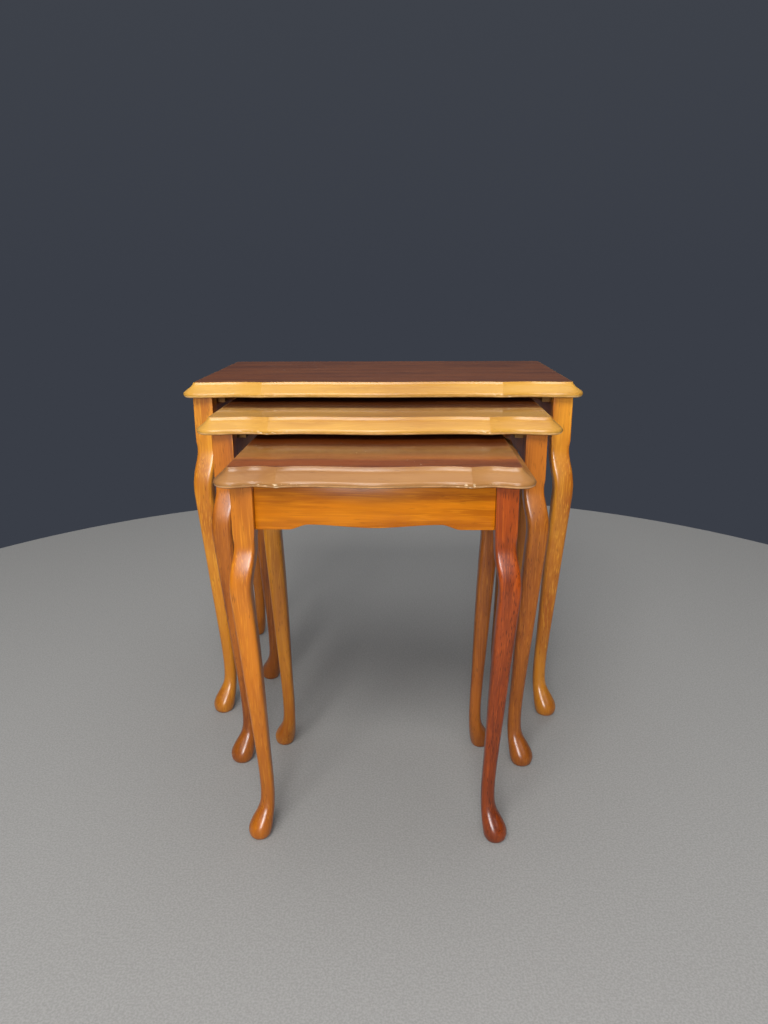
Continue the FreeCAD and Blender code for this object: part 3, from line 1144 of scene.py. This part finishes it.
# ---------------------------------------------------------------- one table
@dataclass
class NestTable:
    """One table of the nest, with its own woods."""

    name: str
    crown: float
    surface: WoodFinish
    edge: MouldingFinish
    legs: Mapping[tuple[int, int], WoodFinish]
    apron: Optional[WoodFinish] = None
    pieces: list[bpy.types.Object] = field(default_factory=list)

    def build_legs(self) -> None:
        """Make the four legs around the rails."""
        rail_low, rail_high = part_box(f"{self.name}_side_rail_left")
        back_low, back_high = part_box(f"{self.name}_back_rail")
        middle = (back_low.x + back_high.x) / 2
        across = middle - (rail_low.x + rail_high.x) / 2
        half = across - (back_high.x - middle)
        for (side, end), finish in self.legs.items():
            place = f"{'front' if end < 0 else 'rear'}_{'left' if side < 0 else 'right'}"
            y = rail_low.y - half if end < 0 else rail_high.y + half
            leg = CabrioleLeg(
                node=f"{self.name}_leg_{place}",
                body=f"{self.name}_table",
                centre=Vector((middle + side * across, y, 0.0)),
                half=half,
                height=rail_high.z,
                side=side,
                end=end,
                finish=finish,
            )
            self.pieces.append(leg.build())

    def build_rails(self) -> None:
        """Make the rails, and the apron where the table has one."""
        body = f"{self.name}_table"
        for side in ("left", "right"):
            self.pieces.append(ShapedRail(
                f"{self.name}_side_rail_{side}", body, "rail_wood", False, True, SIDE_RAIL
            ).build())
        self.pieces.append(ShapedRail(
            f"{self.name}_back_rail", body, "rail_wood", True, False, BACK_RAIL
        ).build())
        if self.apron is not None:
            self.pieces.append(ShapedRail(
                f"{self.name}_front_apron", body, "apron_wood", True, True, self.apron
            ).build())

    def dress_joinery(self) -> None:
        """Give the screw blocks, screws and dowels their finishes."""
        for part, finish in (
            ("screw_blocks", RAW_PINE_PAINTED_SHADE), ("top_screws", SteelFinish()), ("dowels", RAW_BEECH)
        ):
            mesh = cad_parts[f"{self.name}_{part}"].data
            mesh.materials.clear()
            mesh.materials.append(finish.build())
            LOG.info("%s_%s: packed shape, new finish", self.name, part)

    def build(self) -> None:
        """Make every piece of the table."""
        top = MouldedTop(self.name, self.crown, self.surface, self.edge, UNDERSIDE)
        self.pieces.append(top.build())
        self.build_legs()
        self.build_rails()
        self.dress_joinery()


# ---------------------------------------------------------------- woods of this nest
def leg_wood(name: str, pale: Colour, body: Colour, deep: Colour, **extra: float) -> WoodFinish:
    """A leg's finish, with its grain upright."""
    lacquer = {"coat": 0.8, "coat_roughness": 0.25, "coat_ior": 1.62}
    return WoodFinish(name, pale, body, deep, Grain.UPRIGHT, **{**lacquer, **extra})


UNDERSIDE = WoodFinish(
    "underside_stain", paint(120, 74, 36), paint(98, 56, 26), paint(72, 38, 18), Grain.ACROSS,
    roughness=0.6, coat=0.1, fleck_depth=0.4,
)
SIDE_RAIL = WoodFinish(
    "side_rail_wood", paint(214, 136, 54), paint(190, 110, 38), paint(150, 78, 24), Grain.DEEP,
)
BACK_RAIL = WoodFinish(
    "back_rail_wood", paint(176, 108, 46), paint(148, 84, 32), paint(112, 58, 22), Grain.ACROSS,
)
# The pine is darkened past its own colour: painted shade for the screw blocks under the tops.
RAW_PINE_PAINTED_SHADE = WoodFinish(
    "raw_pine_painted_shade", paint(168, 128, 78), paint(146, 104, 58), paint(116, 78, 42), Grain.DEEP,
    roughness=0.75, coat=0.0, fleck_share=0.1,
)
RAW_BEECH = WoodFinish(
    "raw_beech", paint(222, 182, 132), paint(204, 158, 106), paint(180, 132, 84), Grain.ACROSS,
    roughness=0.75, coat=0.0, fleck_share=0.2,
)

LARGE_SURFACE = WoodFinish(
    "large_top_mahogany", paint(146, 84, 34), paint(120, 62, 20), paint(92, 44, 12), Grain.ACROSS,
    band_width=0.03, fleck_share=0.3, fleck_depth=0.5, dust=0.8, roughness=0.34,
    coat=0.6, coat_roughness=0.16,
)
MIDDLE_SURFACE = WoodFinish(
    "middle_top_mahogany", paint(112, 60, 28), paint(94, 46, 18), paint(68, 30, 10), Grain.ACROSS,
    band_width=0.026, fleck_share=0.3, fleck_depth=0.5, dust=0.6, roughness=0.34,
    coat=1.0, coat_roughness=0.05, shift=11.0,
)
# The small top darkens towards the back as painted shade of the middle table above.
SMALL_SURFACE = WoodFinish(
    "small_top_mahogany", paint(160, 84, 30), paint(140, 66, 20), paint(98, 42, 10), Grain.ACROSS,
    band_width=0.024, fleck_share=0.3, fleck_depth=0.5, dust=0.9, roughness=0.34,
    coat=0.6, coat_roughness=0.05, painted_shade_from=-0.262, shift=23.0,
)
# Each edge's pale nose colour is partly a painted highlight, and its under colour is painted shade.
LARGE_EDGE = MouldingFinish(
    "large_edge_gold", paint(214, 166, 76), paint(200, 148, 60), paint(174, 120, 42), Grain.ACROSS,
    band_width=0.05, fleck_depth=0.25, fibre=0.4, coat=0.6,
    coat_roughness=0.26, bare=paint(250, 226, 180), under=paint(140, 84, 34),
    worn_and_highlight=paint(255, 208, 132),
)
MIDDLE_EDGE = MouldingFinish(
    "middle_edge_gold", paint(212, 164, 76), paint(198, 146, 60), paint(170, 116, 44), Grain.ACROSS,
    band_width=0.045, fleck_depth=0.25, fibre=0.4, coat=0.6,
    coat_roughness=0.26, bare=paint(252, 230, 188), under=paint(112, 64, 36),
    worn_and_highlight=paint(255, 204, 134), shift=9.0,
)
SMALL_EDGE = MouldingFinish(
    "small_edge_rose_gold", paint(168, 122, 70), paint(152, 105, 56), paint(128, 82, 42),
    Grain.ACROSS, band_width=0.04, fleck_depth=0.25, fibre=0.4, coat=0.6,
    coat_roughness=0.26, bare=paint(250, 226, 186),
    under=paint(112, 66, 36), worn_and_highlight=paint(238, 184, 126), shift=19.0,
)
APRON = WoodFinish(
    "small_apron_honey", paint(204, 124, 14), paint(188, 106, 4), paint(150, 76, 2), Grain.ACROSS,
    band_width=0.012, fleck_share=0.25, fleck_depth=0.35, coat=0.5, coat_roughness=0.2,
)
HONEY = leg_wood(
    "leg_honey", paint(232, 162, 48), paint(210, 132, 28), paint(164, 86, 12), fleck_share=0.4,
)
AMBER = leg_wood(
    "leg_amber", paint(222, 142, 34), paint(198, 112, 16), paint(150, 74, 8), fleck_share=0.45,
    shift=4.0,
)
CHESTNUT = leg_wood(
    "leg_chestnut", paint(196, 118, 30), paint(168, 90, 16), paint(124, 58, 6), fleck_share=0.6,
    shift=8.0,
)
RUSSET = leg_wood(
    "leg_russet", paint(182, 84, 12), paint(152, 62, 4), paint(98, 34, 2), fleck_share=0.8,
    fleck_depth=0.75, shift=15.0,
)


# ---------------------------------------------------------------- studio
@dataclass
class Studio:
    """The floor, the lights, the air and the camera."""

    camera_place: Place = (0.0353, -1.1423, 0.688)
    pitch: float = 0.288
    yaw: float = 0.029
    roll: float = -0.0054
    lens: float = 27.04
    floor_radius: float = 1.35

    def add_camera(self) -> None:
        """Make the scene's camera."""
        data = bpy.data.cameras.new("view")
        data.lens = self.lens
        data.sensor_width = 36.0
        data.clip_start = 0.01
        camera = bpy.data.objects.new("view", data)
        turn = Euler((math.pi / 2 - self.pitch, 0.0, self.yaw)).to_matrix()
        turn = turn @ Matrix.Rotation(self.roll, 3, "Z")
        camera.matrix_world = Matrix.Translation(self.camera_place) @ turn.to_4x4()
        bpy.context.scene.collection.objects.link(camera)
        bpy.context.scene.camera = camera

    def add_floor(self) -> None:
        """Make the round floor."""
        shape = bmesh.new()
        bmesh.ops.create_circle(
            shape, cap_ends=True, segments=128, radius=self.floor_radius,
            matrix=Matrix.Translation((0.0, 0.0, CAD_BOX[0].z - 0.0003)),
        )
        mesh = bpy.data.meshes.new("floor")
        shape.to_mesh(mesh)
        shape.free()
        mesh.materials.append(FloorFinish().build())
        floor = bpy.data.objects.new("floor", mesh)
        bpy.context.scene.collection.objects.link(floor)

    def add_light(
        self, name: str, place: Place, aim: Place, size: tuple[float, float], power: float,
        colour: Colour = (1.0, 1.0, 1.0),
    ) -> None:
        """Add one softbox.

        Args:
            name: The light's name.
            place: Where it stands.
            aim: What it points at.
            size: Its width and height.
            power: Its power in watts.
            colour: Its colour.
        """
        data = bpy.data.lights.new(name, "AREA")
        data.shape = "RECTANGLE"
        data.size, data.size_y = size
        data.energy = power
        data.color = colour
        light = bpy.data.objects.new(name, data)
        away = Vector(place) - Vector(aim)
        turn = away.to_track_quat("Z", "Y").to_matrix().to_4x4()
        light.matrix_world = Matrix.Translation(place) @ turn
        light.visible_camera = False
        bpy.context.scene.collection.objects.link(light)

    def add_lights(self) -> None:
        """Hang the softboxes."""
        self.add_light("key", (-0.3, -1.9, 2.35), (0.0, -0.1, 0.4), (1.3, 0.9), 56.0,
                       (1.0, 0.985, 0.96))
        self.add_light("window", (-0.25, -2.9, 0.95), (0.0, 0.0, 0.45), (0.6, 1.1), 47.0)
        self.add_light("left", (-1.5, -2.1, 1.7), (0.0, 0.0, 0.35), (1.2, 1.2), 5.0)
        self.add_light("right", (1.6, -1.9, 1.5), (0.0, 0.0, 0.3), (1.0, 1.2), 4.0)
        self.add_light("overhead", (0.0, 0.1, 2.4), (0.0, 0.0, 0.4), (1.4, 1.0), 7.0)
        self.add_light("behind", (0.2, 1.9, 2.2), (0.0, 0.0, 0.4), (1.6, 0.8), 8.0)

    def add_air(self) -> None:
        """A neutral surround, dark at eye level and paler overhead."""
        world = bpy.data.worlds.new("surround")
        world.use_nodes = True
        bpy.context.scene.world = world
        graph = Graph(world.node_tree)
        around = graph.add("ShaderNodeTexCoord").out("Generated")
        up = graph.add("ShaderNodeSeparateXYZ", {}, {"Vector": around}).out("Z")
        shade = graph.add(
            "ShaderNodeValToRGB",
            {"stops": ((0.0, paint(58, 62, 71)), (0.30, paint(62, 66, 74)),
                       (0.62, paint(120, 122, 126)), (1.0, paint(190, 191, 193)))},
            {"Fac": up},
        )
        background = graph.add("ShaderNodeBackground", {}, {"Color": shade, "Strength": 1.0})
        graph.add("ShaderNodeOutputWorld", {}, {"Surface": background})

    def build(self) -> None:
        """Set up the whole studio."""
        self.add_camera()
        self.add_floor()
        self.add_lights()
        self.add_air()
        bpy.context.scene.view_settings.view_transform = "Standard"


def main() -> None:
    """Build the nest and its studio."""
    logging.basicConfig(level=logging.INFO, format="%(name)s: %(message)s")
    Studio().build()
    tables = (
        NestTable("large", 0.75, LARGE_SURFACE, LARGE_EDGE,
                  {(-1, -1): HONEY, (1, -1): HONEY, (-1, 1): AMBER, (1, 1): AMBER}),
        NestTable("middle", 1.0, MIDDLE_SURFACE, MIDDLE_EDGE,
                  {(-1, -1): CHESTNUT, (1, -1): CHESTNUT, (-1, 1): CHESTNUT, (1, 1): CHESTNUT}),
        NestTable("small", 0.95, SMALL_SURFACE, SMALL_EDGE,
                  {(-1, -1): AMBER, (1, -1): RUSSET, (-1, 1): HONEY, (1, 1): CHESTNUT}, APRON),
    )
    for table in tables:
        table.build()
        LOG.info("%s table: %d pieces", table.name, len(table.pieces))


if __name__ == "__main__":
    main()
